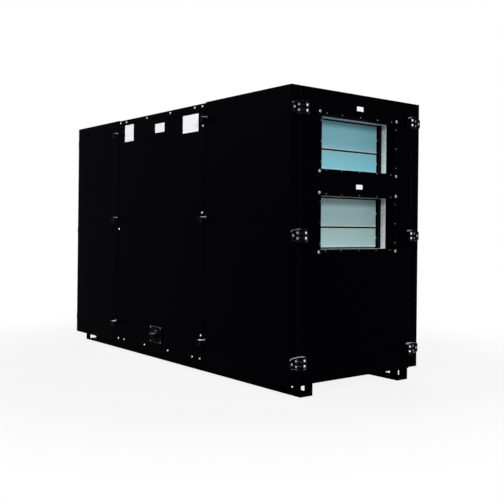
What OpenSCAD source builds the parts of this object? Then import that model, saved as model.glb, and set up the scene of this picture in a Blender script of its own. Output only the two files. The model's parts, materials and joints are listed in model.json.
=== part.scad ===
// Air handling unit: an insulated steel cabinet on two lifting rails, with hinged doors on both
// long sides, a screwed middle panel between them and two duct openings in each end.
// X runs along the cabinet, the front is at -Y, Z is up and the floor is at zero.

/* [Cabinet] */
// Length over the end faces
casing_l = 2140; // [1900:5:2600]
// Width over the door faces
casing_w = 870; // [780:5:1100]
// Height of the casing without its rails
casing_h = 1340; // [1330:5:1600]
// Thickness of the end panels
end_t = 56; // [40:1:70]
// Thickness of the roof panel
roof_t = 50; // [40:1:70]
// Thickness of the floor panel
floor_t = 50; // [40:1:70]
// Radius of the folded panel edges
edge_r = 3; // [1:0.5:6]

/* [Doors] */
// Width of the doors at the right end
right_door_w = 664; // [400:1:750]
// Width of the doors at the left end
left_door_w = 555; // [400:1:750]
// Thickness of a door
door_t = 57; // [45:1:65]
// Gap between a closed door and the frame behind it
seal_gap = 5; // [5:0.5:8]
// Gap between a door and the middle panel
joint_gap = 6; // [5:0.5:10]
// How far doors and middle panels stop above the foot of the end panels
bottom_step = 4; // [2:0.5:8]
// How far the middle panels stop below the roof
top_step = 4; // [2:0.5:8]
// Width of the posts behind the door joints
post_w = 70; // [50:1:90]
// Depth of those posts
post_d = 50; // [30:1:60]

/* [Rails] */
// Height of a rail
rail_h = 55; // [50:1:120]
// Width of a rail
rail_w = 74; // [50:1:100]
// Distance of a rail from the door face
rail_inset = 72; // [64:1:110]
// Wall of the folded rail
rail_wall = 4; // [3:0.5:6]
// Length of a lifting window
window_l = 95; // [40:1:120]
// Height of a lifting window
window_h = 30; // [20:1:36]
// Distance of a lifting window from the rail's end
window_end = 50; // [40:1:120]

/* [Hinges] */
// Distance of the outer hinges from the foot and the top of the casing
hinge_in = 100; // [70:1:200]
// Height of a hinge at its pin
hinge_h = 60; // [50:1:80]
// How much lower a door leaf is at its free end
door_taper = 14; // [0:1:20]
// How much lower an end leaf is at its free end
end_taper = 2; // [0:1:10]
// Cut-off corners of a leaf
leaf_cut = 6; // [4:0.5:10]
// Width of the raised rim round a leaf
rim_w = 3; // [2:0.5:4]
// Height of that rim
rim_h = 2.5; // [1:0.5:4]
// Width of the leaf on the door edge, from the pin
door_leaf_w = 56; // [46:1:57]
// Thickness of the door leaf at its rim
door_leaf_t = 8; // [6:0.5:9]
// Width of the leaf on the end panel, from the pin
end_leaf_w = 29; // [25:1:50]
// Thickness of the end leaf at its rim
end_leaf_t = 22; // [16:0.5:26]
// Distance of the pin from the end face
pin_out = 13; // [11:0.5:16]
// Radius of the knuckle
knuckle_r = 9; // [8:0.5:10]
// Radius of the hinge pin
pin_r = 4; // [3:0.1:5]
// Room between the pin and the knuckle round it
pin_clear = 0.2; // [0.1:0.05:0.4]
// Room between knuckles, and between a knuckle and the other leaf
knuckle_gap = 1; // [0.4:0.1:2]

/* [Latches] */
// Height of the low latches above the foot of the casing
latch_low = 122; // [60:1:200]
// How far the middle latches sit above the halfway line
latch_lift = 77; // [0:1:150]
// Distance of the top latches from the casing's top
latch_top = 85; // [60:1:200]
// Distance of a latch's spindle from the door's free edge
latch_in = 11; // [10:0.5:20]
// Radius of the spindle in the door
spindle_r = 5; // [4:0.1:6]
// Depth of the spindle in the door
spindle_l = 30; // [15:1:35]
// Room round the spindle and behind the foot
spindle_clear = 0.3; // [0.2:0.05:0.5]
// Radius of the round foot of a latch
latch_foot_r = 12; // [10:0.5:13]
// Thickness of that foot
latch_foot_t = 5; // [3:0.5:8]
// Radius of the stem
latch_stem_r = 9; // [7:0.5:10]
// Distance from the spindle to the centre of the lever's round end
lever_reach = 16; // [12:0.5:24]
// Distance of the lever's back from the door face
lever_in = 12; // [10:0.5:20]
// Distance of the finger tab's back from the door face
tab_in = 26; // [20:0.5:30]
// How far the finger tab hangs below the lever
tab_drop = 10; // [6:0.5:16]
// Corner radius of the finger tab
tab_corner = 4; // [2:0.5:6]
// How far the finger tab is set in from the lever's ends
tab_inset = 1; // [0.5:0.5:3]
// How far the lever stands out from the door face
latch_out = 34; // [33:0.5:45]

/* [Duct openings] */
// Width of a duct opening
duct_w = 500; // [400:5:520]
// Height of a duct opening
duct_h = 250; // [200:5:260]
// Distance of the upper opening's centre from the casing's top
upper_drop = 239; // [210:1:300]
// Distance between the centres of the two openings
duct_pitch = 371; // [350:1:450]
// Width of the flange round an opening
flange_w = 24; // [20:1:40]
// Thickness of the flange
flange_t = 2; // [1.5:0.1:4]
// Distance of the corner bolts from the opening's edge
bolt_in = 11; // [10:0.5:16]
// Radius of the corner bolt holes
bolt_r = 4.5; // [3:0.1:6]
// Depth of the corner bolt holes in the end panel
bolt_depth = 40; // [20:1:50]

/* [Dampers] */
// Height of the low blade; the high one fills the rest of the opening
low_blade_h = 92; // [70:1:110]
// Thickness of a blade at its spindle
blade_t = 14; // [10:0.5:20]
// Thickness of a blade at its edges
blade_edge = 4; // [3:0.5:6]
// Height of the bead along a blade's lower edge
bead_h = 6; // [4:0.5:10]
// How far that bead stands out from the blade's face
bead_out = 2.5; // [1:0.5:4]
// Gap round a blade
blade_gap = 8; // [5.5:0.5:10]
// Depth of the blade spindles behind the end face
blade_depth = 108; // [100:1:130]
// Depth of the bright sleeve in front of the gear bars
sleeve_l = 32; // [25:1:40]
// Width of the gear bars beside the blades
gear_bar_w = 16; // [12:1:30]
// Depth of the gear bars
gear_bar_t = 30; // [24:1:40]
// Wall of the damper casing
damper_wall = 14; // [10:1:20]
// How far that casing runs past the open blades
damper_tail = 10; // [5:1:30]
// Radius of a blade spindle
blade_pin_r = 5; // [4:0.1:7]
// Room round a blade spindle
blade_pin_clear = 0.3; // [0.2:0.05:0.5]

/* [Isolator] */
// Height of the isolator's centre above the foot of the casing
isolator_z = 99; // [75:1:200]
// Width of its plate
isolator_w = 124; // [90:1:160]
// Height of its plate
isolator_h = 90; // [80:1:140]
// Thickness of its plate at the rim
isolator_t = 6; // [4:0.5:10]
// Width of the plate's raised rim
plate_rim_w = 3; // [2:0.5:6]
// Height of that rim
plate_rim_h = 2; // [1:0.5:3]
// Radius of the rotary knob
knob_r = 24; // [18:0.5:32]
// Height of the knob's round part above the rim
knob_t = 8; // [5:0.5:14]
// Thickness of the knob's grip at its root
grip_root = 22; // [16:0.5:28]
// Thickness of the grip at its outer end
grip_tip = 15; // [8:0.5:16]

/* [Hidden] */
$fn = 48;
x_end = casing_l / 2;
y_face = casing_w / 2;
z_foot = rail_h;
z_top = rail_h + casing_h;
core_y = y_face - door_t - seal_gap;
x_in = x_end - end_t;
right_joint = x_end - right_door_w - joint_gap / 2;
left_joint = -x_end + left_door_w + joint_gap / 2;
pin_y = y_face - door_t - seal_gap / 2;
rail_y = y_face - rail_inset - rail_w / 2;
knuckle_l = hinge_h / 3;
hinge_z = [hinge_in, casing_h / 2, casing_h - hinge_in];
latch_z = [latch_low, casing_h / 2 + latch_lift, casing_h - latch_top];
upper_z = casing_h - upper_drop;
lower_z = upper_z - duct_pitch;
high_blade_h = duct_h - low_blade_h - 3 * blade_gap;
damper_l = blade_depth + max(low_blade_h, high_blade_h) / 2 + damper_tail - end_t;
blade_l = duct_w - 2 * gear_bar_w - 2 * blade_gap;
isolator_x = (right_joint + left_joint) / 2;
skin = [0.05, 0.05, 0.06];
zinc = [0.72, 0.75, 0.76];
plastic = [0.09, 0.09, 0.10];

// Box between two corners
module block(low, high) {
  translate(low) cube(high - low);
}

// Upright panel between two corners, its upright edges rounded as folded sheet
module folded_panel(low, high, r) {
  translate([0, 0, low[2]])
    linear_extrude(high[2] - low[2])
      union() {
        translate([low[0] + r, low[1]]) square([high[0] - low[0] - 2 * r, high[1] - low[1]]);
        translate([low[0], low[1] + r]) square([high[0] - low[0], high[1] - low[1] - 2 * r]);
        for (x = [low[0] + r, high[0] - r], y = [low[1] + r, high[1] - r])
          translate([x, y]) circle(r);
      }
}

// Puts a shape made for the right end or the front at the other end or side
module at_end(left) {
  if (left) mirror([1, 0, 0]) children();
  else children();
}
module at_side(rear) {
  if (rear) mirror([0, 1, 0]) children();
  else children();
}

// Folded box rail with open ends and a lifting window through it near each end
module rail(rear) {
  color(skin)
    at_side(rear)
      difference() {
        block([-x_end, -rail_y - rail_w / 2, 0], [x_end, -rail_y + rail_w / 2, rail_h]);
        block(
          [-x_end - 1, -rail_y - rail_w / 2 + rail_wall, rail_wall],
          [x_end + 1, -rail_y + rail_w / 2 - rail_wall, rail_h - rail_wall]);
        for (left = [false, true])
          at_end(left)
            block(
              [x_end - window_end - window_l, -rail_y - rail_w, (rail_h - window_h) / 2],
              [x_end - window_end, -rail_y + rail_w, (rail_h + window_h) / 2]);
      }
}

module floor_panel() {
  color(zinc) block([-x_in, -core_y, z_foot], [x_in, core_y, z_foot + floor_t]);
}

module roof_panel() {
  color(skin) block([-x_in, -core_y, z_top - roof_t], [x_in, core_y, z_top]);
}

// Rectangle across the end face, as wide and high as given, centred at a height above the foot
module end_window(w, h, z, x0, x1) {
  block([x0, -w / 2, z_foot + z - h / 2], [x1, w / 2, z_foot + z + h / 2]);
}

// Corner bolt holes of both openings, from the given depth outwards
module corner_holes(z, x0, x1) {
  for (y = [-1, 1], h = [-1, 1])
    translate([x0, y * (duct_w / 2 + bolt_in), z_foot + z + h * (duct_h / 2 + bolt_in)])
      rotate([0, 90, 0]) cylinder(h = x1 - x0, r = bolt_r);
}

module end_panel(left) {
  color(skin)
    at_end(left)
      difference() {
        block([x_in, -core_y, z_foot], [x_end, core_y, z_top]);
        for (z = [upper_z, lower_z]) {
          end_window(duct_w, duct_h, z, x_in - 1, x_end + 1);
          corner_holes(z, x_end - bolt_depth, x_end + 1);
        }
      }
}

// Posts behind the door joints, from floor to roof
module posts(rear) {
  color(zinc)
    at_side(rear)
      for (x = [right_joint, left_joint])
        block(
          [x - post_w / 2, -core_y, z_foot + floor_t],
          [x + post_w / 2, -core_y + post_d, z_top - roof_t]);
}

module middle_panel(rear) {
  color(skin)
    at_side(rear)
      folded_panel(
        [left_joint + joint_gap / 2, -y_face, z_foot + bottom_step],
        [right_joint - joint_gap / 2, -core_y, z_top - top_step],
        edge_r);
}

// Door of the given width at the right end of the front, bored for its latch spindles
module door(width, left, rear) {
  color(skin)
    at_end(left)
      at_side(rear)
        difference() {
          folded_panel(
            [x_end - width, -y_face, z_foot + bottom_step],
            [x_end, -y_face + door_t, z_top],
            edge_r);
          for (z = latch_z)
            translate([x_end - width + latch_in, -y_face - 1, z_foot + z])
              rotate([-90, 0, 0]) cylinder(h = spindle_l + 2, r = spindle_r + spindle_clear);
        }
}

// Half the height of a leaf at a distance from the pin
function leaf_half(y, w, taper) = (hinge_h - taper * y / w) / 2;

// Half outline of a leaf of width w from y0 outwards, drawn in by i along its edges
function leaf_side(y0, w, taper, i) = [
  [y0, leaf_half(y0, w, taper) - i],
  [w - leaf_cut, leaf_half(w - leaf_cut, w, taper) - i],
  [w - i, leaf_half(w, w, taper) - leaf_cut]
];

// Slab with the outline of a leaf, from one height over the end face to another
module leaf_slab(y0, w, taper, i, x0, x1) {
  side = leaf_side(y0, w, taper, i);
  translate([x0, 0, 0])
    rotate([90, 0, 90])
      linear_extrude(x1 - x0)
        polygon(concat(side, [for (k = [2:-1:0]) [side[k][0], -side[k][1]]]));
}

// Leaf with a sunk field inside its raised rim, from y0 outwards along Y
module leaf(y0, field_y, w, taper, t) {
  difference() {
    leaf_slab(y0, w, taper, 0, 0, t);
    leaf_slab(field_y, w, taper, rim_w, t - rim_h, t + 1);
  }
}

module knuckle(h) {
  translate([pin_out, 0, 0]) cylinder(h = h, r = knuckle_r, center = true);
}

// Three door leaves with two knuckles each, at the front right corner
module door_leaves(left, rear) {
  room = knuckle_r + knuckle_gap;
  color(plastic)
    at_end(left)
      at_side(rear)
        for (z = hinge_z)
          translate([x_end, -pin_y, z_foot + z])
            difference() {
              union() {
                mirror([0, 1, 0]) leaf(0, room + rim_w, door_leaf_w, door_taper, door_leaf_t);
                for (side = [-1, 1])
                  translate([0, 0, side * knuckle_l]) knuckle(knuckle_l - knuckle_gap);
              }
              translate([pin_out, 0, 0])
                cylinder(h = hinge_h + 2, r = pin_r + pin_clear, center = true);
              block(
                [-1, -room, -(knuckle_l + knuckle_gap) / 2],
                [pin_out + room, room, (knuckle_l + knuckle_gap) / 2]);
            }
}

// Thick leaves on the end panel, each with the middle knuckle and the pin, on both sides
module end_leaves(left) {
  room = knuckle_r + knuckle_gap;
  half = (knuckle_l - knuckle_gap) / 2;
  color(plastic)
    at_end(left)
      for (rear = [false, true])
        at_side(rear)
          for (z = hinge_z)
            translate([x_end, -pin_y, z_foot + z])
              union() {
                leaf(room, room + rim_w / 2, end_leaf_w, end_taper, end_leaf_t);
                block([0, 0, -half], [pin_out, room + 1, half]);
                knuckle(2 * half);
                translate([pin_out, 0, 0]) cylinder(h = hinge_h, r = pin_r, center = true);
              }
}

// Bar with round ends from x0 to x1
module slot(x0, x1, w) {
  translate([x0, -w / 2]) square([x1 - x0, w]);
  for (x = [x0, x1])
    translate([x, 0]) circle(w / 2);
}

// Outline of the finger tab, which hangs below the lever's middle line
module finger_tab() {
  x0 = tab_inset - lever_reach - latch_stem_r;
  x1 = latch_stem_r - tab_inset;
  low = -latch_stem_r - tab_drop;
  translate([x0, low + tab_corner]) square([x1 - x0, -low - tab_corner]);
  translate([x0 + tab_corner, low]) square([x1 - x0 - 2 * tab_corner, -low]);
  for (x = [x0 + tab_corner, x1 - tab_corner])
    translate([x, low + tab_corner]) circle(tab_corner);
}

// Turn latch on the door face: spindle, foot, stem and a lever over the joint with a tab for the fingers
module latch(z, width, left, rear) {
  color(plastic)
    at_end(left)
      at_side(rear)
        translate([x_end - width + latch_in, -y_face, z_foot + z])
          rotate([90, 0, 0])
            union() {
              translate([0, 0, -spindle_l]) cylinder(h = spindle_l + 1, r = spindle_r);
              translate([0, 0, spindle_clear]) cylinder(h = latch_foot_t, r = latch_foot_r);
              translate([0, 0, spindle_clear]) cylinder(h = lever_in, r = latch_stem_r);
              translate([0, 0, lever_in])
                linear_extrude(latch_out - lever_in) slot(-lever_reach, 0, 2 * latch_stem_r);
              translate([0, 0, tab_in]) linear_extrude(latch_out - tab_in) finger_tab();
            }
}

module latches(width, left, rear) {
  for (z = latch_z)
    latch(z, width, left, rear);
}

// Flange round a duct opening, drilled at its corners
module flange(z, left) {
  color(skin)
    at_end(left)
      difference() {
        end_window(duct_w + 2 * flange_w, duct_h + 2 * flange_w, z, x_end, x_end + flange_t);
        end_window(duct_w, duct_h, z, x_end - 1, x_end + flange_t + 1);
        corner_holes(z, x_end - 1, x_end + flange_t + 1);
      }
}

// Height of a blade: side is 1 for the high one and -1 for the low one
function blade_h(side) = side > 0 ? high_blade_h : low_blade_h;

// Height of its spindle in the opening centred at z
function spindle_z(z, side) = z + side * (duct_h / 2 - blade_gap - blade_h(side) / 2);

// Bright damper casing behind an opening, flush with its edges
module damper(z, left) {
  color(zinc)
    at_end(left)
      difference() {
        end_window(duct_w + 2 * damper_wall, duct_h + 2 * damper_wall, z, x_in - damper_l, x_in);
        end_window(duct_w, duct_h, z, x_in - damper_l - 1, x_in + 1);
      }
}

// Dark bars on both sides of the blades, bored for their spindles
module gear_bars(z, left) {
  bar_x = x_in - sleeve_l;
  color(plastic)
    at_end(left)
      for (side = [-1, 1])
        difference() {
          translate([bar_x - gear_bar_t / 2, side * (duct_w - gear_bar_w) / 2, z_foot + z])
            cube([gear_bar_t, gear_bar_w, duct_h], center = true);
          for (half = [-1, 1])
            translate([x_end - blade_depth, side * duct_w / 2, z_foot + spindle_z(z, half)])
              rotate([90, 0, 0])
                cylinder(h = 3 * gear_bar_w, r = blade_pin_r + blade_pin_clear, center = true);
        }
}

// Damper blade: flat outside with a bead along its lower edge, thicker behind at its spindle
module blade(z, side, left) {
  pin_l = blade_l + 2 * blade_gap + gear_bar_w;
  face = blade_t / 2;
  half = blade_h(side) / 2;
  color(zinc)
    at_end(left)
      translate([x_end - blade_depth, 0, z_foot + spindle_z(z, side)])
        rotate([90, 0, 0])
          union() {
            linear_extrude(blade_l, center = true)
              polygon([
                [face - blade_edge, -half], [face + bead_out, -half], [face + bead_out, bead_h - half],
                [face, bead_h - half], [face, half], [face - blade_edge, half],
                [-face, blade_t], [-face, -blade_t]
              ]);
            cylinder(h = pin_l, r = blade_pin_r, center = true);
          }
}

module blades(z, left) {
  for (side = [-1, 1])
    blade(z, side, left);
}

// Isolator plate with a sunk field inside its rim, bored for the knob's spindle
module isolator_plate() {
  color(plastic)
    translate([isolator_x, -y_face, z_foot + isolator_z])
      rotate([90, 0, 0])
        difference() {
          linear_extrude(isolator_t) square([isolator_w, isolator_h], center = true);
          translate([0, 0, isolator_t - plate_rim_h])
            linear_extrude(plate_rim_h + 1)
              square([isolator_w - 2 * plate_rim_w, isolator_h - 2 * plate_rim_w], center = true);
          translate([0, 0, -1]) cylinder(h = isolator_t + 2, r = spindle_r + spindle_clear);
        }
}

// Rotary knob: spindle, round base and a grip across it that narrows outwards
module isolator_knob() {
  seat = isolator_t - plate_rim_h + spindle_clear;
  color(plastic)
    translate([isolator_x, -y_face, z_foot + isolator_z])
      rotate([90, 0, 0])
        union() {
          translate([0, 0, spindle_clear]) cylinder(h = seat, r = spindle_r);
          translate([0, 0, seat]) cylinder(h = isolator_t + knob_t - seat, r = knob_r);
          intersection() {
            translate([0, 0, seat]) cylinder(h = latch_out - seat, r = knob_r);
            rotate([90, 0, 90])
              linear_extrude(2 * knob_r, center = true)
                polygon([
                  [-grip_root / 2, seat], [grip_root / 2, seat],
                  [grip_tip / 2, latch_out], [-grip_tip / 2, latch_out]
                ]);
          }
        }
}

rail(false);  // front_rail
rail(true);  // rear_rail
floor_panel();
roof_panel();
end_panel(false);  // right_end_panel
end_panel(true);  // left_end_panel
posts(false);  // front_posts
posts(true);  // rear_posts
middle_panel(false);  // front_middle_panel
middle_panel(true);  // rear_middle_panel
door(right_door_w, false, false);  // front_right_door
door(left_door_w, true, false);  // front_left_door
door(right_door_w, false, true);  // rear_right_door
door(left_door_w, true, true);  // rear_left_door
door_leaves(false, false);  // front_right_door_leaves
door_leaves(true, false);  // front_left_door_leaves
door_leaves(false, true);  // rear_right_door_leaves
door_leaves(true, true);  // rear_left_door_leaves
end_leaves(false);  // right_end_leaves
end_leaves(true);  // left_end_leaves
latch(latch_z[0], right_door_w, false, false);  // front_right_latch_low
latch(latch_z[1], right_door_w, false, false);  // front_right_latch_mid
latch(latch_z[2], right_door_w, false, false);  // front_right_latch_top
latch(latch_z[0], left_door_w, true, false);  // front_left_latch_low
latch(latch_z[1], left_door_w, true, false);  // front_left_latch_mid
latch(latch_z[2], left_door_w, true, false);  // front_left_latch_top
latches(right_door_w, false, true);  // rear_right_latches
latches(left_door_w, true, true);  // rear_left_latches
flange(upper_z, false);  // right_upper_flange
flange(lower_z, false);  // right_lower_flange
flange(upper_z, true);  // left_upper_flange
flange(lower_z, true);  // left_lower_flange
damper(upper_z, false);  // right_upper_damper
damper(lower_z, false);  // right_lower_damper
damper(upper_z, true);  // left_upper_damper
damper(lower_z, true);  // left_lower_damper
gear_bars(upper_z, false);  // right_upper_gear_bars
gear_bars(lower_z, false);  // right_lower_gear_bars
gear_bars(upper_z, true);  // left_upper_gear_bars
gear_bars(lower_z, true);  // left_lower_gear_bars
blade(upper_z, 1, false);  // right_upper_blade_high
blade(upper_z, -1, false);  // right_upper_blade_low
blade(lower_z, 1, false);  // right_lower_blade_high
blade(lower_z, -1, false);  // right_lower_blade_low
blades(upper_z, true);  // left_upper_blades
blades(lower_z, true);  // left_lower_blades
isolator_plate();
isolator_knob();
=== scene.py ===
import json
import math

import bmesh
import bpy
from mathutils import Matrix, Vector


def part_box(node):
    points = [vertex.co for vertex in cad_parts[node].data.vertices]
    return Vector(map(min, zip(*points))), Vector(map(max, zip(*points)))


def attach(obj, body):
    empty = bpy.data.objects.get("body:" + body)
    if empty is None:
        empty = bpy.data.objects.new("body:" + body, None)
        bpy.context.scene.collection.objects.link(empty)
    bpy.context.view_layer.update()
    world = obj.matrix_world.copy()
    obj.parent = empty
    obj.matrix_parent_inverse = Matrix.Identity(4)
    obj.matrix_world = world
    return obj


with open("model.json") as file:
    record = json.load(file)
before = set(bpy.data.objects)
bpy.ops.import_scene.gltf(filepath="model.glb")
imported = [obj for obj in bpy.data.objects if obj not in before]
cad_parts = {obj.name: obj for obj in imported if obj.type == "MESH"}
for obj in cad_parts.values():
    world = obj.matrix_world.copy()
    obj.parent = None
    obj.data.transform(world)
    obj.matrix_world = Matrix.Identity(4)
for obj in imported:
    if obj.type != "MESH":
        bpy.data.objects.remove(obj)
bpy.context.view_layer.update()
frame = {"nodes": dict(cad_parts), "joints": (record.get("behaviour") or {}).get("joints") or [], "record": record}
nodes = frame["nodes"]
scene = bpy.context.scene
mm = 0.001
print("frame loaded:", len(nodes), "nodes")


# sRGB hex to the linear colour that shaders take
def hexColour(text):
    parts = [int(text[i:i + 2], 16) / 255 for i in (1, 3, 5)]
    return [c / 12.92 if c <= 0.04045 else ((c + 0.055) / 1.055) ** 2.4 for c in parts] + [1.0]


# adds a node, sets its settings, then fills its inputs with values or links
def addNode(tree, kind, inputs=None, **settings):
    made = tree.nodes.new(kind)
    for key, value in settings.items():
        setattr(made, key, value)
    for key, value in (inputs or {}).items():
        socket = made.inputs[key]
        if isinstance(value, bpy.types.NodeSocket):
            tree.links.new(value, socket)
        else:
            socket.default_value = value
    return made


def newMaterial(name, **sockets):
    made = bpy.data.materials.new(name)
    made.use_nodes = True
    tree = made.node_tree
    shader = tree.nodes["Principled BSDF"]
    for key, value in sockets.items():
        shader.inputs[key.replace("_", " ")].default_value = value
    place = addNode(tree, "ShaderNodeTexCoord").outputs["Object"]
    return made, tree, shader, place


def dress(material, *names):
    for name in names:
        slots = nodes[name].data.materials
        slots.clear()
        slots.append(material)


def nodesWith(*words):
    return [name for name in nodes if any(word in name for word in words)]


def linkObject(name, data):
    made = bpy.data.objects.new(name, data)
    scene.collection.objects.link(made)
    return made


# camera: where the photograph was taken from, level, with the lens shifted down a little
cameraSet = {"place": (3.5674, -2.617, 0.7592), "azimuth": 51.751, "level": 90, "roll": 0.64,
             "lens": 53.674, "sensor": 36, "shiftY": -0.049}

cameraData = bpy.data.cameras.new("camera")
cameraData.lens = cameraSet["lens"]
cameraData.sensor_width = cameraSet["sensor"]
cameraData.shift_y = cameraSet["shiftY"]
camera = linkObject("camera", cameraData)
turn = Matrix.Rotation(math.radians(cameraSet["azimuth"]), 4, "Z")
tip = Matrix.Rotation(math.radians(cameraSet["level"]), 4, "X")
roll = Matrix.Rotation(math.radians(cameraSet["roll"]), 4, "Z")
camera.matrix_world = Matrix.Translation(cameraSet["place"]) @ turn @ tip @ roll
scene.camera = camera
scene.view_settings.view_transform = "Standard"
print("camera placed")


# studio: white backdrop, soft key at the front left, fill at the right, lamps above and behind
studio = {
    "backdropHex": "#ffffff", "worldLight": 0.15, "aim": (0, 0, 0.7),
    "lamps": {
        "key": {"place": (-3.4, -5.2, 4.2), "size": 4.0, "watts": 260},
        "fill": {"place": (5.6, -2.7, 2.6), "size": 1.4, "watts": 175},
        "overhead": {"place": (3.6, -2.0, 5.4), "size": 2.6, "watts": 215},
        "back": {"place": (-3.4, 4.4, 3.6), "size": 3.0, "watts": 200},
    },
}


def addLamp(name, place, size, watts):
    lamp = bpy.data.lights.new(name, "AREA")
    lamp.shape = "DISK"
    lamp.size = size
    lamp.energy = watts
    holder = linkObject(name, lamp)
    holder.location = place
    holder.rotation_euler = (Vector(studio["aim"]) - Vector(place)).to_track_quat("-Z", "Y").to_euler()


# 1 for rays that show the backdrop, 0 for those that carry its light
def backdropRays(tree):
    path = addNode(tree, "ShaderNodeLightPath").outputs
    seen = path["Is Camera Ray"]
    for kind in ("Is Glossy Ray", "Is Transmission Ray"):
        seen = addNode(tree, "ShaderNodeMath", {0: seen, 1: path[kind]}, operation="MAXIMUM").outputs[0]
    return seen


def buildWorld():
    world = bpy.data.worlds.new("studio")
    scene.world = world
    world.use_nodes = True
    tree = world.node_tree
    tree.nodes.clear()
    white = hexColour(studio["backdropHex"])
    lit = addNode(tree, "ShaderNodeBackground", {"Color": white, "Strength": studio["worldLight"]})
    shown = addNode(tree, "ShaderNodeBackground", {"Color": white, "Strength": 1.0})
    both = addNode(tree, "ShaderNodeMixShader",
                   {0: backdropRays(tree), 1: lit.outputs[0], 2: shown.outputs[0]})
    addNode(tree, "ShaderNodeOutputWorld", {"Surface": both.outputs[0]})


# floor: uncoated paper, matt, with a fine grain; lengths in metres unless they say mm
floorPaper = {
    "hex": "#949494", "rough": 0.9, "reach": 40, "grainMm": 4, "grainBump": 0.05, "grainDeepMm": 0.2,
    # share of plain backdrop in the floor beside the unit, and the distances over which it becomes all of it
    "nearWhite": 0.87, "fadeFrom": 1.2, "fadeTo": 2.4,
}


def buildFloor():
    mesh = bpy.data.meshes.new("floor")
    reach = floorPaper["reach"]
    corners = [(-reach, -reach, 0), (reach, -reach, 0), (reach, reach, 0), (-reach, reach, 0)]
    mesh.from_pydata(corners, [], [(0, 1, 2, 3)])
    floor = linkObject("floor", mesh)
    paper, tree, shader, place = newMaterial(
        "matt paper", Base_Color=hexColour(floorPaper["hex"]), Roughness=floorPaper["rough"])
    grain = addNode(tree, "ShaderNodeTexNoise",
                    {"Vector": place, "Scale": 1 / (floorPaper["grainMm"] * mm), "Detail": 2.0})
    bump = addNode(tree, "ShaderNodeBump",
                   {"Height": grain.outputs["Fac"], "Strength": floorPaper["grainBump"],
                    "Distance": floorPaper["grainDeepMm"] * mm})
    tree.links.new(bump.outputs[0], shader.inputs["Normal"])
    away = addNode(tree, "ShaderNodeVectorMath", {0: place}, operation="LENGTH")
    fade = addNode(tree, "ShaderNodeMapRange",
                   {"Value": away.outputs["Value"], "From Min": floorPaper["fadeFrom"],
                    "From Max": floorPaper["fadeTo"], "To Min": floorPaper["nearWhite"], "To Max": 1.0},
                   interpolation_type="SMOOTHSTEP")
    share = addNode(tree, "ShaderNodeMath", {0: fade.outputs[0], 1: backdropRays(tree)}, operation="MULTIPLY")
    glow = addNode(tree, "ShaderNodeEmission", {"Color": hexColour(studio["backdropHex"]), "Strength": 1.0})
    both = addNode(tree, "ShaderNodeMixShader",
                   {0: share.outputs[0], 1: shader.outputs[0], 2: glow.outputs[0]})
    tree.links.new(both.outputs[0], tree.nodes["Material Output"].inputs["Surface"])
    mesh.materials.append(paper)


for name, settings in studio["lamps"].items():
    addLamp(name, **settings)
buildWorld()
buildFloor()
print("studio lit")


# steel sheet, polyester powder coated in satin black and baked: deep black, broad gloss, fine orange peel
powder = {"hex": "#010102", "dustHex": "#020204", "cloudMm": 260, "rough": (0.40, 0.52), "specular": 0.003,
          "edgeMm": 2.5, "peelMm": 3.5, "peelBump": 0.12, "peelDeepMm": 0.15}


def powderNodes(tree, shader, place):
    clouds = addNode(tree, "ShaderNodeTexNoise",
                     {"Vector": place, "Scale": 1 / (powder["cloudMm"] * mm), "Detail": 3.0})
    tone = addNode(tree, "ShaderNodeMix",
                   {"Factor": clouds.outputs["Fac"], "A": hexColour(powder["hex"]),
                    "B": hexColour(powder["dustHex"])}, data_type="RGBA")
    tree.links.new(tone.outputs["Result"], shader.inputs["Base Color"])
    low, high = powder["rough"]
    sheen = addNode(tree, "ShaderNodeMapRange",
                    {"Value": clouds.outputs["Fac"], "To Min": low, "To Max": high})
    tree.links.new(sheen.outputs[0], shader.inputs["Roughness"])
    # real orange peel is about 1 mm; drawn coarser so that it shows
    peel = addNode(tree, "ShaderNodeTexNoise",
                   {"Vector": place, "Scale": 1 / (powder["peelMm"] * mm), "Detail": 2.0})
    soft = addNode(tree, "ShaderNodeBevel", {"Radius": powder["edgeMm"] * mm}, samples=4)
    bump = addNode(tree, "ShaderNodeBump",
                   {"Height": peel.outputs["Fac"], "Strength": powder["peelBump"],
                    "Distance": powder["peelDeepMm"] * mm, "Normal": soft.outputs[0]})
    tree.links.new(bump.outputs[0], shader.inputs["Normal"])


# hot-dip galvanised sheet: pale grey metal with flat crystals about a centimetre wide
galvanised = {"hex": "#dce2e4", "darkHex": "#c5cdd0", "metal": 0.15, "rough": (0.32, 0.5),
              "spangleMm": 14, "spangleBump": 0.08, "spangleDeepMm": 0.1}


def galvanisedNodes(tree, shader, place):
    shader.inputs["Metallic"].default_value = galvanised["metal"]
    spangle = addNode(tree, "ShaderNodeTexVoronoi",
                      {"Vector": place, "Scale": 1 / (galvanised["spangleMm"] * mm)})
    shade = addNode(tree, "ShaderNodeSeparateColor", {0: spangle.outputs["Color"]})
    tone = addNode(tree, "ShaderNodeMix",
                   {"Factor": shade.outputs[0], "A": hexColour(galvanised["darkHex"]),
                    "B": hexColour(galvanised["hex"])}, data_type="RGBA")
    tree.links.new(tone.outputs["Result"], shader.inputs["Base Color"])
    low, high = galvanised["rough"]
    gloss = addNode(tree, "ShaderNodeMapRange", {"Value": shade.outputs[1], "To Min": low, "To Max": high})
    tree.links.new(gloss.outputs[0], shader.inputs["Roughness"])
    bump = addNode(tree, "ShaderNodeBump",
                   {"Height": shade.outputs[0], "Strength": galvanised["spangleBump"],
                    "Distance": galvanised["spangleDeepMm"] * mm})
    tree.links.new(bump.outputs[0], shader.inputs["Normal"])


def powderCoat():
    made, tree, shader, place = newMaterial(
        "black powder coat, baked", Specular_IOR_Level=powder["specular"])
    powderNodes(tree, shader, place)
    return made


def galvanisedSheet():
    made, tree, shader, place = newMaterial("galvanised sheet, hot dipped")
    galvanisedNodes(tree, shader, place)
    return made


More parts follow.
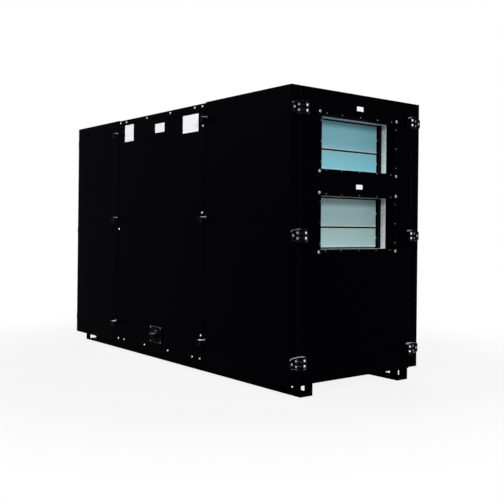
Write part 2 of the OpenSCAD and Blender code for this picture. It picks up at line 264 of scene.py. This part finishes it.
# double-skin panel: powder coat outside, galvanised liner on the face beyond the limit along one axis
def doubleSkin(name, axis, limit, above):
    made, tree, shader, place = newMaterial(
        "double skin panel, " + name, Specular_IOR_Level=powder["specular"])
    powderNodes(tree, shader, place)
    liner = addNode(tree, "ShaderNodeBsdfPrincipled")
    galvanisedNodes(tree, liner, place)
    split = addNode(tree, "ShaderNodeSeparateXYZ", {0: place})
    side = addNode(tree, "ShaderNodeMath", {0: split.outputs[axis], 1: limit},
                   operation="GREATER_THAN" if above else "LESS_THAN")
    both = addNode(tree, "ShaderNodeMixShader",
                   {0: side.outputs[0], 1: shader.outputs[0], 2: liner.outputs[0]})
    tree.links.new(both.outputs[0], tree.nodes["Material Output"].inputs["Surface"])
    return made


# product of a face's own normal and one softened over a radius: where the painted edge highlight starts and where
# it is full
edgeHighlightSpan = {"starts": 0.97, "full": 0.75}


# 1 along outer and inner edges, 0 on flat faces
def edgeMask(tree, radiusMm):
    flat = addNode(tree, "ShaderNodeNewGeometry").outputs["Normal"]
    wide = addNode(tree, "ShaderNodeBevel", {"Radius": radiusMm * mm}, samples=8)
    agree = addNode(tree, "ShaderNodeVectorMath", {0: flat, 1: wide.outputs[0]}, operation="DOT_PRODUCT")
    mask = addNode(tree, "ShaderNodeMapRange",
                   {"Value": agree.outputs["Value"], "From Min": edgeHighlightSpan["starts"],
                    "From Max": edgeHighlightSpan["full"]})
    return mask.outputs[0]


# aluminium blade, roll formed: faint streaks along the blade; its colour is a painted reflection, sky teal in the
# upper opening and grey-green ground in the lower, in soft random bands of a cool and a warm tint, with a painted
# highlight along the edges
blades = {"upper": ("#76bbca", "#7eb4c0"), "lower": ("#92c2ce", "#a2bdb9"), "edgeHex": "#e0dccf", "edgeMm": 4,
          "metal": 0.06, "rough": 0.45, "bandMm": 130, "bandFrom": (0.35, 0.65),
          "streakMm": 5, "streakShade": (0.91, 1.03), "streakBump": 0.05, "streakDeepMm": 0.2,
          # bands and streaks are drawn out along the blade
          "drawnOut": (1, 0.03, 1)}


def bladeSheet(name):
    made, tree, shader, place = newMaterial(
        "aluminium blade, roll formed, " + name, Metallic=blades["metal"], Roughness=blades["rough"])
    # cool and warm tint of the painted reflection
    cool, warm = [hexColour(h) for h in blades[name]]
    along = addNode(tree, "ShaderNodeMapping", {"Vector": place, "Scale": blades["drawnOut"]}).outputs[0]
    bands = addNode(tree, "ShaderNodeTexNoise", {"Vector": along, "Scale": 1 / (blades["bandMm"] * mm)})
    low, high = blades["bandFrom"]
    spread = addNode(tree, "ShaderNodeMapRange",
                     {"Value": bands.outputs["Fac"], "From Min": low, "From Max": high})
    tint = addNode(tree, "ShaderNodeMix",
                   {"Factor": spread.outputs[0], "A": cool, "B": warm}, data_type="RGBA")
    streak = addNode(tree, "ShaderNodeTexNoise",
                     {"Vector": along, "Scale": 1 / (blades["streakMm"] * mm), "Detail": 3.0})
    dark, light = blades["streakShade"]
    shade = addNode(tree, "ShaderNodeMapRange",
                    {"Value": streak.outputs["Fac"], "To Min": dark, "To Max": light})
    tone = addNode(tree, "ShaderNodeVectorMath",
                   {0: tint.outputs["Result"], "Scale": shade.outputs[0]}, operation="SCALE")
    # painted highlight along the blade edges
    edgeLit = addNode(tree, "ShaderNodeMix",
                  {"Factor": edgeMask(tree, blades["edgeMm"]), "A": tone.outputs[0],
                   "B": hexColour(blades["edgeHex"])}, data_type="RGBA")
    tree.links.new(edgeLit.outputs["Result"], shader.inputs["Base Color"])
    bump = addNode(tree, "ShaderNodeBump",
                   {"Height": streak.outputs["Fac"], "Strength": blades["streakBump"],
                    "Distance": blades["streakDeepMm"] * mm})
    tree.links.new(bump.outputs[0], shader.inputs["Normal"])
    return made


# glass-filled polyamide, injection moulded: matt black, with a painted highlight along its edges and painted light
# on its upward faces
plastic = {"hex": "#040405", "rough": 0.4, "specular": 0.008, "edgeMm": 1.5, "rubMm": 1.4,
           "grainMm": 1.6, "grainBump": 0.15, "grainDeepMm": 0.15,
           # upward part of the normal where the painted top light starts and where it is full
           "dustFrom": (0.55, 0.95),
           # colours of the painted edge highlight and of the painted top light
           "latches and hinges": ("#565660", "#c6c5cb"), "isolator": ("#232327", "#66666a")}


def mouldedPlastic(name):
    made, tree, shader, place = newMaterial(
        "black polyamide, moulded, " + name, Roughness=plastic["rough"],
        Specular_IOR_Level=plastic["specular"])
    edgeHighlight, topLight = [hexColour(h) for h in plastic[name]]
    grain = addNode(tree, "ShaderNodeTexNoise",
                    {"Vector": place, "Scale": 1 / (plastic["grainMm"] * mm), "Detail": 2.0})
    soft = addNode(tree, "ShaderNodeBevel", {"Radius": plastic["edgeMm"] * mm}, samples=4)
    bump = addNode(tree, "ShaderNodeBump",
                   {"Height": grain.outputs["Fac"], "Strength": plastic["grainBump"],
                    "Distance": plastic["grainDeepMm"] * mm, "Normal": soft.outputs[0]})
    tree.links.new(bump.outputs[0], shader.inputs["Normal"])
    # painted highlight along the edges
    tone = addNode(tree, "ShaderNodeMix",
                   {"Factor": edgeMask(tree, plastic["rubMm"]), "A": hexColour(plastic["hex"]), "B": edgeHighlight},
                   data_type="RGBA")
    # painted light on the upward faces
    normal = addNode(tree, "ShaderNodeNewGeometry").outputs["Normal"]
    facing = addNode(tree, "ShaderNodeSeparateXYZ", {0: normal})
    low, high = plastic["dustFrom"]
    topLightShare = addNode(tree, "ShaderNodeMapRange",
                      {"Value": facing.outputs["Z"], "From Min": low, "From Max": high})
    topLit = addNode(tree, "ShaderNodeMix",
                    {"Factor": topLightShare.outputs[0], "A": tone.outputs["Result"], "B": topLight}, data_type="RGBA")
    tree.links.new(topLit.outputs["Result"], shader.inputs["Base Color"])
    return made


# zinc-plated steel, passivated: light grey metal, slightly uneven in gloss; the darker copy is painted shade for
# the isolator's screws
zinc = {"bright": "#b0b4b9", "dulled": "#7d8084", "metal": 0.9, "patchMm": 5, "rough": (0.22, 0.42)}


def platedZinc(name):
    made, tree, shader, place = newMaterial(
        "steel screw, zinc plated, " + name, Base_Color=hexColour(zinc[name]), Metallic=zinc["metal"])
    patch = addNode(tree, "ShaderNodeTexNoise",
                    {"Vector": place, "Scale": 1 / (zinc["patchMm"] * mm), "Detail": 2.0})
    low, high = zinc["rough"]
    gloss = addNode(tree, "ShaderNodeMapRange",
                    {"Value": patch.outputs["Fac"], "To Min": low, "To Max": high})
    tree.links.new(gloss.outputs[0], shader.inputs["Roughness"])
    return made


# polyester label film, smooth: plain white with a soft gloss
film = {"hex": "#f1f1f1", "greyHex": "#e6e7e8", "rough": 0.35, "cloudMm": 45}


def labelFilm():
    made, tree, shader, place = newMaterial("polyester label film, smooth", Roughness=film["rough"])
    clouds = addNode(tree, "ShaderNodeTexNoise", {"Vector": place, "Scale": 1 / (film["cloudMm"] * mm)})
    tone = addNode(tree, "ShaderNodeMix",
                   {"Factor": clouds.outputs["Fac"], "A": hexColour(film["hex"]),
                    "B": hexColour(film["greyHex"])}, data_type="RGBA")
    tree.links.new(tone.outputs["Result"], shader.inputs["Base Color"])
    return made


# cellular rubber seal, extruded: black, matt, pitted by its cells
rubber = {"hex": "#070708", "rough": 0.85, "specular": 0.02,
          "cellMm": 1.2, "cellBump": 0.3, "cellDeepMm": 0.3}


def foamRubber():
    made, tree, shader, place = newMaterial(
        "cellular rubber, extruded", Base_Color=hexColour(rubber["hex"]), Roughness=rubber["rough"],
        Specular_IOR_Level=rubber["specular"])
    cells = addNode(tree, "ShaderNodeTexVoronoi", {"Vector": place, "Scale": 1 / (rubber["cellMm"] * mm)})
    bump = addNode(tree, "ShaderNodeBump",
                   {"Height": cells.outputs["Distance"], "Strength": rubber["cellBump"],
                    "Distance": rubber["cellDeepMm"] * mm})
    tree.links.new(bump.outputs[0], shader.inputs["Normal"])
    return made


coatBlack = powderCoat()
sheetZinc = galvanisedSheet()
# painted reflections: sky teal for the upper openings' blades, grey-green ground for the lower ones
bladeSkyReflection = bladeSheet("upper")
bladeGroundReflection = bladeSheet("lower")
plasticBlack = mouldedPlastic("latches and hinges")
# the isolator's copy has a dimmer painted edge highlight and painted top light, painted shade for the lower plate
plasticIsolator = mouldedPlastic("isolator")
screwZinc = platedZinc("bright")
# darker zinc: painted shade
screwShaded = platedZinc("dulled")
filmWhite = labelFilm()
sealBlack = foamRubber()
print("materials made")

# CAD pieces take their finishes; a liner starts a hair short of the panel's inner face
linerSkin = 0.05 * mm
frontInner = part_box("front_right_door")[1].y - linerSkin
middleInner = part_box("front_middle_panel")[1].y - linerSkin
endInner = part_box("right_end_panel")[0].x + linerSkin
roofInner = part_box("roof_panel")[0].z + linerSkin
dress(doubleSkin("front doors", "Y", frontInner, True), "front_right_door", "front_left_door")
dress(doubleSkin("rear doors", "Y", -frontInner, False), "rear_right_door", "rear_left_door")
dress(doubleSkin("front middle", "Y", middleInner, True), "front_middle_panel")
dress(doubleSkin("rear middle", "Y", -middleInner, False), "rear_middle_panel")
dress(doubleSkin("right end", "X", endInner, False), "right_end_panel")
dress(doubleSkin("left end", "X", -endInner, True), "left_end_panel")
dress(doubleSkin("roof", "Z", roofInner, False), "roof_panel")
dress(coatBlack, *nodesWith("_flange", "_rail"))
dress(sheetZinc, *nodesWith("floor_panel", "_posts", "_damper"))
dress(bladeSkyReflection, *nodesWith("_upper_blade"))
dress(bladeGroundReflection, *nodesWith("_lower_blade"))
dress(plasticBlack, *nodesWith("latch", "leaves", "gear_bars"))
dress(plasticIsolator, *nodesWith("isolator"))
print("CAD nodes dressed")


# screw heads: sizes in mm in the order of screwSizes, then the sides of the head and of its socket
screwSizes = ("Head Radius", "Head Height", "Washer Radius", "Washer Thickness",
              "Socket Radius", "Socket Depth")
screwTypes = {
    "panel": {"sizes": (5.2, 3.4, 5.8, 1.0, 2.4, 2.0), "sides": (20, 6)},
    "hinge": {"sizes": (5.2, 3.0, 5.7, 0.6, 2.2, 1.8), "sides": (20, 6)},
    "small": {"sizes": (1.8, 1.5, 2.2, 0.5, 0.9, 0.9), "sides": (14, 6)},
    "plate": {"sizes": (3.2, 2.0, 3.6, 0.6, 1.5, 1.2), "sides": (16, 6)},
    # a rivet nut is an open ring over the bolt hole
    "rivetNut": {"sizes": (6.6, 1.6, 0, 0, 4.4, 3.0), "sides": (24, 20)},
}
# crown is the share of its radius that every head keeps at the top
screwForm = {"crown": 0.72, "washerSides": 20}
outward = {"-Y": (90, 0, 0), "+Y": (-90, 0, 0), "+X": (0, 90, 0), "-X": (0, -90, 0)}


# a washer and a head with a socket, put on every point
def screwTree():
    tree = bpy.data.node_groups.new("screwHeads", "GeometryNodeTree")
    face = tree.interface
    face.new_socket("Geometry", in_out="INPUT", socket_type="NodeSocketGeometry")
    for name in screwSizes:
        face.new_socket(name, in_out="INPUT", socket_type="NodeSocketFloat")
    for name in ("Head Sides", "Socket Sides"):
        face.new_socket(name, in_out="INPUT", socket_type="NodeSocketInt")
    face.new_socket("Turn", in_out="INPUT", socket_type="NodeSocketVector")
    face.new_socket("Finish", in_out="INPUT", socket_type="NodeSocketMaterial")
    face.new_socket("Geometry", in_out="OUTPUT", socket_type="NodeSocketGeometry")
    given = addNode(tree, "NodeGroupInput").outputs
    half = addNode(tree, "ShaderNodeMath", {0: given["Washer Thickness"], 1: 0.5}, operation="MULTIPLY")
    lift = addNode(tree, "ShaderNodeCombineXYZ", {"Z": half.outputs[0]})
    washer = addNode(tree, "GeometryNodeMeshCylinder",
                     {"Vertices": screwForm["washerSides"], "Radius": given["Washer Radius"],
                      "Depth": given["Washer Thickness"]})
    washer = addNode(tree, "GeometryNodeTransform",
                     {"Geometry": washer.outputs[0], "Translation": lift.outputs[0]})
    crown = addNode(tree, "ShaderNodeMath", {0: given["Head Radius"], 1: screwForm["crown"]},
                    operation="MULTIPLY")
    head = addNode(tree, "GeometryNodeMeshCone",
                   {"Vertices": given["Head Sides"], "Side Segments": 2, "Radius Top": crown.outputs[0],
                    "Radius Bottom": given["Head Radius"], "Depth": given["Head Height"]})
    rise = addNode(tree, "ShaderNodeCombineXYZ", {"Z": given["Washer Thickness"]})
    head = addNode(tree, "GeometryNodeTransform",
                   {"Geometry": head.outputs[0], "Translation": rise.outputs[0]})
    top = addNode(tree, "ShaderNodeMath", {0: given["Washer Thickness"], 1: given["Head Height"]},
                  operation="ADD")
    above = addNode(tree, "ShaderNodeCombineXYZ", {"Z": top.outputs[0]})
    # half of the cutter stands above the head
    deep = addNode(tree, "ShaderNodeMath", {0: given["Socket Depth"], 1: 2.0}, operation="MULTIPLY")
    socket = addNode(tree, "GeometryNodeMeshCylinder",
                     {"Vertices": given["Socket Sides"], "Radius": given["Socket Radius"],
                      "Depth": deep.outputs[0]})
    socket = addNode(tree, "GeometryNodeTransform",
                     {"Geometry": socket.outputs[0], "Translation": above.outputs[0]})
    bored = addNode(tree, "GeometryNodeMeshBoolean",
                    {"Mesh 1": head.outputs[0], "Mesh 2": socket.outputs[0]}, operation="DIFFERENCE")
    whole = addNode(tree, "GeometryNodeJoinGeometry", {0: washer.outputs[0]})
    tree.links.new(bored.outputs[0], whole.inputs[0])
    put = addNode(tree, "GeometryNodeInstanceOnPoints",
                  {"Points": given["Geometry"], "Instance": whole.outputs[0], "Rotation": given["Turn"]})
    real = addNode(tree, "GeometryNodeRealizeInstances", {0: put.outputs[0]})
    finish = addNode(tree, "GeometryNodeSetMaterial",
                     {"Geometry": real.outputs[0], "Material": given["Finish"]})
    addNode(tree, "NodeGroupOutput", {0: finish.outputs[0]})
    return tree


screwGroup = screwTree()


# runs the tree on a list of points and returns the result as a plain mesh object at the origin
def screwsAt(name, kind, direction, points, finish=screwZinc):
    screw = screwTypes[kind]
    cloud = bpy.data.meshes.new(name)
    cloud.from_pydata(points, [], [])
    holder = linkObject(name, cloud)
    modifier = holder.modifiers.new("screws", "NODES")
    modifier.node_group = screwGroup
    values = {key: size * mm for key, size in zip(screwSizes, screw["sizes"])}
    values["Head Sides"], values["Socket Sides"] = screw["sides"]
    values["Turn"] = [math.radians(a) for a in outward[direction]]
    values["Finish"] = finish
    for item in screwGroup.interface.items_tree:
        if item.in_out == "INPUT" and item.name in values:
            modifier[item.identifier] = values[item.name]
    bpy.context.view_layer.update()
    made = bpy.data.meshes.new_from_object(holder.evaluated_get(bpy.context.evaluated_depsgraph_get()))
    holder.modifiers.clear()
    holder.data = made
    bpy.data.meshes.remove(cloud)
    return holder


# a finished bmesh becomes an object with one material
def pieceFrom(name, shape, material):
    mesh = bpy.data.meshes.new(name)
    shape.to_mesh(mesh)
    shape.free()
    mesh.materials.append(material)
    return linkObject(name, mesh)


def joinPieces(name, parts):
    joined = bmesh.new()
    for part in parts:
        joined.from_mesh(part.data)
    piece = pieceFrom(name, joined, parts[0].data.materials[0])
    for part in parts:
        old = part.data
        bpy.data.objects.remove(part)
        bpy.data.meshes.remove(old)
    return piece


# middle panel screws, in mm from the panel's centre line, its edges, and up from its foot
panelScrews = {"across": (-434, -364, -125, 125, 364, 434), "topIn": 14, "bottomIn": 24, "sideIn": 14,
               "rightUp": (143, 772, 1218), "leftUp": (681,)}


def middleScrews(side):
    low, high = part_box(side + "_middle_panel")
    face = low.y if side == "front" else high.y
    middle = (low.x + high.x) / 2
    points = []
    for x in panelScrews["across"]:
        points.append((middle + x * mm, face, high.z - panelScrews["topIn"] * mm))
        points.append((middle + x * mm, face, low.z + panelScrews["bottomIn"] * mm))
    sideIn = panelScrews["sideIn"] * mm
    points += [(high.x - sideIn, face, low.z + z * mm) for z in panelScrews["rightUp"]]
    points += [(low.x + sideIn, face, low.z + z * mm) for z in panelScrews["leftUp"]]
    return screwsAt(side + "_panel_screws", "panel", "-Y" if side == "front" else "+Y", points)


for side in ("front", "rear"):
    piece = middleScrews(side)
    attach(piece, "casing")
print("panel screws placed")

# hinge screws, in mm from the pin along the leaf and up from the hinge's middle; a leaf's sunk field lies
# this far out from the end face
hingeScrews = {
    "tall": 60,
    "doorLeaf": {"places": ((46, 0), (20.4, 12.2), (20.4, -12.2)), "field": 5.5},
    "endLeaf": {"places": ((17.5, 12), (17.5, -12)), "field": 19.5},
}
hingePins = {j["child"]: Vector(j["pos_m"]) for j in frame["joints"] if j["name"].endswith("_hinge")}
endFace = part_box("right_end_panel")[1].x


def hingeHeads(name, door, leaf):
    pin = hingePins[door]
    low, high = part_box(door + "_leaves")
    half = hingeScrews["tall"] / 2 * mm
    field = endFace + hingeScrews[leaf]["field"] * mm
    right = pin.x > 0
    inward = (-1 if pin.y > 0 else 1) * (-1 if leaf == "doorLeaf" else 1)
    points = []
    for z in (low.z + half, (low.z + high.z) / 2, high.z - half):
        for along, up in hingeScrews[leaf]["places"]:
            points.append((field if right else -field, pin.y + inward * along * mm, z + up * mm))
    return screwsAt(name, "hinge", "+X" if right else "-X", points)


for door in hingePins:
    piece = hingeHeads(door + "_leaf_screws", door, "doorLeaf")
    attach(piece, door)
for end in ("right", "left"):
    parts = [hingeHeads(door + "_end_leaf", door, "endLeaf") for door in hingePins if end in door]
    piece = joinPieces(end + "_end_leaf_screws", parts)
    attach(piece, "casing")
print("hinge screws placed")

# duct flange, in mm: a rivet nut at each corner and a ring of small screws a little nearer the opening
flangeScrews = {"topAcross": (-220, -120, 0, 120, 220), "sideUp": (-95, 0, 95), "nearer": 5.5}


def flangeHeads(mount):
    centre = Vector(mount["pos_m"])
    halfY = mount["dims"]["spacing_x_mm"] / 2
    halfZ = mount["dims"]["spacing_y_mm"] / 2
    direction = "+X" if centre.x > 0 else "-X"
    ends = (-1, 1)
    corners = [(centre.x, a * halfY * mm, centre.z + b * halfZ * mm) for a in ends for b in ends]
    ringY, ringZ = halfY - flangeScrews["nearer"], halfZ - flangeScrews["nearer"]
    ring = [(centre.x, y * mm, centre.z + b * ringZ * mm) for y in flangeScrews["topAcross"] for b in ends]
    ring += [(centre.x, a * ringY * mm, centre.z + z * mm) for z in flangeScrews["sideUp"] for a in ends]
    duct = mount["name"].replace("_bolts", "")
    return (screwsAt(duct + "_rivet_nuts", "rivetNut", direction, corners, sheetZinc),
            screwsAt(duct + "_screws", "small", direction, ring))


for mount in frame["record"]["mounts"]:
    if mount["kind"] == "bolt_pattern":
        nuts, ring = flangeHeads(mount)
        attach(nuts, "casing")
        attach(ring, "casing")
print("duct fixings placed")

# isolator plate screws, in mm from the plate's centre, on its field inside the raised rim
isolatorScrews = {"across": 52, "up": 39, "sunk": 2}


def isolatorHeads():
    low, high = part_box("isolator_plate")
    middle = (low + high) / 2
    across, up = isolatorScrews["across"] * mm, isolatorScrews["up"] * mm
    field = low.y + isolatorScrews["sunk"] * mm
    corners = [(middle.x + a * across, field, middle.z + b * up) for a in (-1, 1) for b in (-1, 1)]
    # the isolator's screws take the darker zinc, painted shade
    return screwsAt("isolator_screws", "plate", "-Y", corners, screwShaded)


piece = isolatorHeads()
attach(piece, "casing")
print("isolator screws placed")

# bare white label plates, in mm; heights are measured up from the casing's foot
labels = {
    "thick": 0.8, "corner": 3, "cornerSteps": 6,
    # from and to along the front, away from the right end face, then lower and upper edge
    "front": {"label_left": (1403, 1505, 1205, 1303), "label_middle": (1060, 1158, 1227, 1277),
              "label_right": (727, 873, 1198, 1290)},
    # centre across the end and up, then width and height
    "end": {"label_upper_duct": (0, 1273, 43, 22), "label_lower_duct": (0, 901, 43, 22)},
}


# upright plate with rounded corners: centre of its back, direction along it, outward normal, size in metres
def labelPlate(name, centre, along, normal, width, height):
    up = Vector((0, 0, 1))
    corner = labels["corner"] * mm
    steps = labels["cornerSteps"]
    made = bmesh.new()
    rim = []
    for cx, cy, start in ((1, 1, 0), (-1, 1, 90), (-1, -1, 180), (1, -1, 270)):
        for i in range(steps + 1):
            angle = math.radians(start + 90 * i / steps)
            a = cx * (width / 2 - corner) + corner * math.cos(angle)
            b = cy * (height / 2 - corner) + corner * math.sin(angle)
            rim.append(made.verts.new(centre + along * a + up * b))
    back = made.faces.new(rim)
    raised = bmesh.ops.extrude_face_region(made, geom=[back])
    tops = [v for v in raised["geom"] if isinstance(v, bmesh.types.BMVert)]
    bmesh.ops.translate(made, vec=normal * labels["thick"] * mm, verts=tops)
    bmesh.ops.recalc_face_normals(made, faces=made.faces)
    return pieceFrom(name, made, filmWhite)


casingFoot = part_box("right_end_panel")[0].z
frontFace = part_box("front_middle_panel")[0].y
for name, (x0, x1, z0, z1) in labels["front"].items():
    centre = Vector((endFace - (x0 + x1) / 2 * mm, frontFace, casingFoot + (z0 + z1) / 2 * mm))
    piece = labelPlate(name, centre, Vector((1, 0, 0)), Vector((0, -1, 0)), (x1 - x0) * mm, (z1 - z0) * mm)
    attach(piece, "casing")
for name, (y, z, width, height) in labels["end"].items():
    centre = Vector((endFace, y * mm, casingFoot + z * mm))
    piece = labelPlate(name, centre, Vector((0, 1, 0)), Vector((1, 0, 0)), width * mm, height * mm)
    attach(piece, "casing")
print("labels placed")

# door seals: a soft strip round the inner face of each door, in the gap to the frame; in mm
seal = {"inset": 0.8, "wide": 18, "thick": 4.4,
        # outline of the strip's section, in shares of its width and thickness
        "section": ((0, 0), (0, 0.7), (0.25, 1), (0.75, 1), (1, 0.7), (1, 0))}


def doorSeal(door):
    low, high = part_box(door)
    front = low.y < 0
    face = high.y if front else low.y
    out = 1 if front else -1
    made = bmesh.new()
    loops = []
    for across, depth in seal["section"]:
        d = (seal["inset"] + across * seal["wide"]) * mm
        y = face + out * depth * seal["thick"] * mm
        left, right, foot, top = low.x + d, high.x - d, low.z + d, high.z - d
        corners = ((left, foot), (right, foot), (right, top), (left, top))
        loops.append([made.verts.new((x, y, z)) for x, z in corners])
    for i, a in enumerate(loops):
        b = loops[(i + 1) % len(loops)]
        for k in range(4):
            made.faces.new((a[k], a[(k + 1) % 4], b[(k + 1) % 4], b[k]))
    bmesh.ops.recalc_face_normals(made, faces=made.faces)
    return pieceFrom(door + "_seal", made, sealBlack)


for door in hingePins:
    piece = doorSeal(door)
    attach(piece, door)
print("door seals fitted")

# rubber lips along the upper edges of the damper blades, which close the gaps above them; in mm
lips = {"tall": 7, "pinOut": 16, "beadOut": 2.5, "edge": 4,
        # share of the lip's height, then its half thickness there
        "profile": ((-0.25, 1.4), (0.0, 1.5), (0.35, 1.1), (0.8, 0.6), (1.0, 0.45))}


# one lip on the edge at height z, on a blade whose face looks along +X or -X
def bladeLip(made, low, high, z, outwardX):
    face = (high.x if outwardX > 0 else low.x) - outwardX * lips["beadOut"] * mm
    middle = face - outwardX * lips["edge"] / 2 * mm
    section = [(-half, share) for share, half in lips["profile"]]
    section += [(half, share) for share, half in reversed(lips["profile"])]
    ends = []
    for y in (low.y + lips["pinOut"] * mm, high.y - lips["pinOut"] * mm):
        places = [(middle + x * mm, y, z + share * lips["tall"] * mm) for x, share in section]
        ends.append([made.verts.new(place) for place in places])
    near, far = ends
    for k in range(len(section)):
        following = (k + 1) % len(section)
        made.faces.new((near[k], near[following], far[following], far[k]))
    for end in ends:
        made.faces.new(end)


# blades of the left end are two to a node, so the low one's edge is found from its height
def lipsFor(node):
    low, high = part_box(node)
    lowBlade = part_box("right_upper_blade_low")
    tops = [high.z]
    if node.endswith("_blades"):
        tops.append(low.z + lowBlade[1].z - lowBlade[0].z)
    made = bmesh.new()
    for z in tops:
        bladeLip(made, low, high, z, 1 if low.x > 0 else -1)
    bmesh.ops.recalc_face_normals(made, faces=made.faces)
    return pieceFrom(node + "_lips", made, sealBlack)


for node in nodesWith("_blade"):
    piece = lipsFor(node)
    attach(piece, node if node.startswith("right") else "casing")
print("blade lips fitted")
